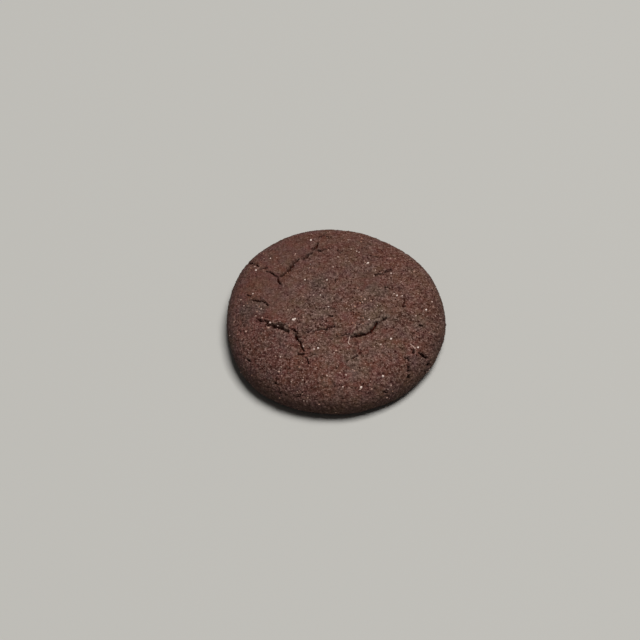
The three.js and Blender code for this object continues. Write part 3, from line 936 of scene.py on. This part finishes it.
def crust_colour(sheet, place, shift):
    """Brown that is redder to the edge and blotchy at the front, with redder, greyer and darker patches, and
    painted light and shade: darker to the base, to the back and near the edge, warmer to the right.
    """
    drift = sheet.noise(place, *COLOUR_NOISE)
    patch_drift = drift * (PATCH_DRIFT * MM)
    red_patch, brown_patch, grey_patch, dark_and_shaded_patch = (
        patch_share(sheet, place, patches, shift, patch_drift)
        for patches in (RED_PATCHES, BROWN_PATCHES, GREY_PATCHES, DARK_AND_SHADED_PATCHES))
    right, back, height = (sheet.axis(place, name) for name in "XYZ")

    level = sheet.vector("MULTIPLY", place, (1, 1, 0))
    radius = sheet.vector("DISTANCE", level, (0, 0, 0), "Value")
    red = sheet.fade_mm(radius + drift * (RED_DRIFT * MM), *RED_FADE)
    red = red + sheet.noise(place, *BLOTCH_NOISE) * sheet.fade_mm(back, *BLOTCH_FADE)
    red = red + RED_GAIN * red_patch - BROWN_LOSS * brown_patch
    colour = sheet.mixed(grey_patch, sheet.mixed(red, BROWN, RED_BROWN), GREY_BROWN)
    colour = sheet.mixed(sheet.fade_mm(height, *RIM_FADE), colour, RIM_BROWN)
    bared = attribute(sheet, "flake") * sheet.fade_mm(height, *BARED_FADE)
    colour = sheet.mixed(bared * BARED_SHARE, colour, FLAKED_BROWN)

    # Painted light: the tint turns olive towards the right, on top of the crust's own tint noise
    olive = sheet.noise(place, *TINT_NOISE) * TINT_SPREAD + right * WARM_LIGHT_TINT_PER_METRE + TINT_MIDDLE
    tint = sheet.mixed(olive, MAUVE_TINT, OLIVE_TINT)
    # Painted shade: darker towards the base and in the dark patches, most of which lie where the edge turns
    # from the light
    light = sheet.fade_mm(height, *FOOT_SHADE_FADE) * (1 - DARK_AND_SHADE_LOSS * dark_and_shaded_patch)
    # Painted shade: darker towards the back and lighter towards the front
    light = light * (1 - back * BACK_SHADE_PER_METRE)
    return sheet.scaled(sheet.vector("MULTIPLY", colour, tint), light)


def drawn_tone(sheet, cell, channel="Red"):
    """A number that is drawn for each cell."""
    return sheet.add("ShaderNodeSeparateColor", {}, {0: cell.also("Color")}, channel)


def grained(sheet, place, colour, tone, hue):
    """A colour turned paler where the tone is over 0 and darker where it is under 0, less so low down."""
    tone = tone * sheet.fade_mm(sheet.axis(place, "Z"), *TONE_HEIGHT_FADE)
    light = sheet.mixed(hue, PINK_GRAIN, LIGHT_GRAIN)
    return sheet.mixed(0 - tone, sheet.mixed(tone, colour, light), DARK_GRAIN_AND_SHADE)


def close_crust(sheet, place, colour, height, bump, roughness):
    """Ends the finish of the crust or its grains: deep brown in the slits, partly painted shade, dry, with a
    fine relief.
    """
    # Painted shade, partly the crumb's own colour: the slits are mixed towards a dark brown
    slit_shaded_colour = sheet.mixed(sheet.fade(attribute(sheet, "slit"), *SLIT_SHADE_FADE), colour, SLIT_BROWN_AND_SHADE)
    strength, depth = bump
    normal = sheet.add("ShaderNodeBump", {}, {"Strength": strength, "Distance": depth * MM, "Height": height})
    mean, spread, noise = roughness
    rough = mean + sheet.noise(place, *noise) * spread
    close_finish(sheet, {
        "Base Color": slit_shaded_colour, "Roughness": rough, "Specular IOR Level": CRUST_SHEEN, "Normal": normal})


def crust_finish(shift):
    material, sheet = new_finish("cocoa crust")
    place = sheet.add("ShaderNodeTexCoord", {}, {}, "Object")
    rest = sheet.add("ShaderNodeAttribute", {"attribute_name": "rest"}, {}, "Vector")
    slit, wall, coarse, flake = (attribute(sheet, name) for name in ("slit", "wall", "coarse", "flake"))
    crumb, grit = grain_cells(sheet, rest, CRUMB_SIZE), grain_cells(sheet, place, GRIT_SIZE)
    pit = grain_cells(sheet, place, PIT_SIZE)
    dust = sheet.noise(place, *DUST_NOISE)
    # Pits sink in the bump and are also painted darker, as painted shade
    pitted = sheet.fade(drawn_tone(sheet, pit), *PITTED_FADE) * sheet.fade(pit + dust, *PIT_FADE)
    crumb_drawn, grit_drawn = (drawn_tone(sheet, cell) - DRAWN_MEAN for cell in (crumb, grit))

    patchy = wall + grit_drawn * WALL_GRIT + sheet.noise(place, *WALL_NOISE) * WALL_SPREAD
    pale = sheet.fade(patchy, *WALL_PATCH_FADE) * sheet.fade(wall, *WALL_SHARE_FADE) * WALL_PALENESS
    colour = sheet.mixed(pale, crust_colour(sheet, place, shift), WALL_BROWN)

    crumb_tone = crumb_drawn * sheet.fade(crumb, *CRUMB_FADE) * (1 - slit)
    grit_tone = grit_drawn * sheet.fade(grit, *GRIT_FADE)
    # Painted shade: the creases between crumbs and grit are darkened
    crease_shade = sheet.fade(crumb, *CRUMB_CREASE_SHADE) + sheet.fade(grit, *GRIT_CREASE_SHADE)
    spots = flake * sheet.fade(sheet.noise(place, *SPOT_NOISE), *SPOT_FADE)
    tone = crumb_tone * CRUMB_TONE + grit_tone + dust * DUST_TONE
    # Painted shade: the pits and the creases take tone away, so they are darker
    tone = tone - crease_shade * CREASE_SHADE_TONE - pitted - spots * SPOT_TONE + BASE_TONE
    colour = grained(sheet, place, colour, tone * coarse, drawn_tone(sheet, grit, "Green"))

    grains = rounded(grit) * GRIT_RISE + rounded(crumb) * CRUMB_RISE * BUMP_CRUMB_SHARE
    height = grains + dust * DUST_RISE - pitted * PIT_DEPTH
    close_crust(sheet, place, colour, height, CRUST_BUMP, CRUST_ROUGHNESS)
    return material


def grain_finish(shift):
    material, sheet = new_finish("cocoa grain")
    place = sheet.add("ShaderNodeTexCoord", {}, {}, "Object")
    hue = sheet.noise(place, *HUE_NOISE) * HUE_SPREAD + HUE_MIDDLE
    tone = (attribute(sheet, "tone") - LOOSE_TONE_MEAN) * LOOSE_TONE_SPREAD
    colour = grained(sheet, place, crust_colour(sheet, place, shift), tone, hue)
    close_crust(sheet, place, colour, sheet.noise(place, *LOOSE_NOISE), LOOSE_BUMP, LOOSE_ROUGHNESS)
    return material


def sugar_finish():
    material, sheet = new_finish("sugar")
    # Paler crystals are partly the sugar's own white and partly a painted glint
    colour = sheet.mixed(attribute(sheet, "pale"), TAN_SUGAR, PALE_SUGAR_AND_GLINT)
    rough = SUGAR_ROUGHNESS + attribute(sheet, "tone") * SUGAR_ROUGHNESS_SPREAD
    close_finish(sheet, {"Base Color": colour, "Roughness": rough, "Specular IOR Level": SUGAR_SHEEN})
    return material


def floor_finish():
    material, sheet = new_finish("pale floor")
    close_finish(sheet, {
        "Base Color": PALE_FLOOR, "Roughness": FLOOR_ROUGHNESS, "Specular IOR Level": FLOOR_SHEEN})
    return material


# Floor, light and camera

FLOOR_REACH = 12000.0
SOFTBOX_PLACE = (1600.0, 640.0, 5840.0)
SOFTBOX_SIZE = 3040.0
SOFTBOX_POWER = 355.0
ROOM_LIGHT = 0.05


def make_floor():
    mesh = bpy.data.meshes.new("floor")
    corners = [(-1, -1, 0), (1, -1, 0), (1, 1, 0), (-1, 1, 0)]
    mesh.from_pydata([Vector(corner) * FLOOR_REACH * MM for corner in corners], [], [(0, 1, 2, 3)])
    mesh.materials.append(floor_finish())
    return new_piece("floor", mesh)


def make_light():
    lamp = bpy.data.lights.new("overhead softbox", "AREA")
    lamp.size = SOFTBOX_SIZE * MM
    lamp.energy = SOFTBOX_POWER
    softbox = new_piece("overhead softbox", lamp)
    softbox.location = Vector(SOFTBOX_PLACE) * MM
    softbox.rotation_euler = Vector(SOFTBOX_PLACE).to_track_quat("Z", "Y").to_euler()


def make_world():
    world = bpy.data.worlds.new("soft room")
    world.use_nodes = True
    background = world.node_tree.nodes["Background"]
    background.inputs["Color"].default_value = WHITE
    background.inputs["Strength"].default_value = ROOM_LIGHT
    bpy.context.scene.world = world


def make_camera():
    """A camera that looks from the front and above, rolled a little."""
    height, roll = radians(ELEVATION), radians(ROLL)
    forward = Vector((0, cos(height), -sin(height)))
    level, upward = Vector((1, 0, 0)), Vector((0, sin(height), cos(height)))
    right = level * cos(roll) - upward * sin(roll)
    up = level * sin(roll) + upward * cos(roll)
    turn = Matrix((right, up, -forward)).transposed().to_4x4()
    lens = bpy.data.cameras.new("camera")
    lens.lens = LENS
    lens.sensor_width = SENSOR
    camera = new_piece("camera", lens)
    camera.matrix_world = Matrix.Translation((Vector(AIM) - forward * AIM_DISTANCE) * MM) @ turn
    bpy.context.scene.camera = camera


def outline_shift():
    """How far the outline's own middle lies from the part's origin, in metres."""
    angle = np.linspace(0, FULL_TURN, OUTLINE_STEPS + 1)
    radius = outline_radius(angle)
    x, y = radius * np.cos(angle), radius * np.sin(angle)
    low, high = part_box("cookie")
    middle = (low + high) / 2
    return Vector((middle.x - (x.min() + x.max()) / 2 * MM, middle.y - (y.min() + y.max()) / 2 * MM, low.z))


def main():
    shift = outline_shift()
    crust = make_crust(shift, crust_finish(shift))
    sheet, cocoa_grain = grain_sheet(), grain_finish(shift)
    crumbs = make_grains("crust_crumbs", "crumb", sheet, crust, cocoa_grain, CRUMBS)
    grit = make_grains("crust_grit", "grit", sheet, crust, cocoa_grain, GRIT)
    bright = bright_sugar_points(crust, shift)
    sugar = make_grains("sugar_crystals", "crystal", sheet, crust, sugar_finish(), SUGAR, bright)
    bpy.data.objects.remove(bright)

    slots = ((crust, "cocoa_crust"), (crumbs, "cocoa_crust"), (grit, "cocoa_crust"), (sugar, "sugar"))
    for piece, slot in slots:
        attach(piece, "root")
    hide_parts("cookie")

    make_floor()
    make_light()
    make_world()
    make_camera()
    bpy.context.scene.view_settings.view_transform = "Standard"


main()
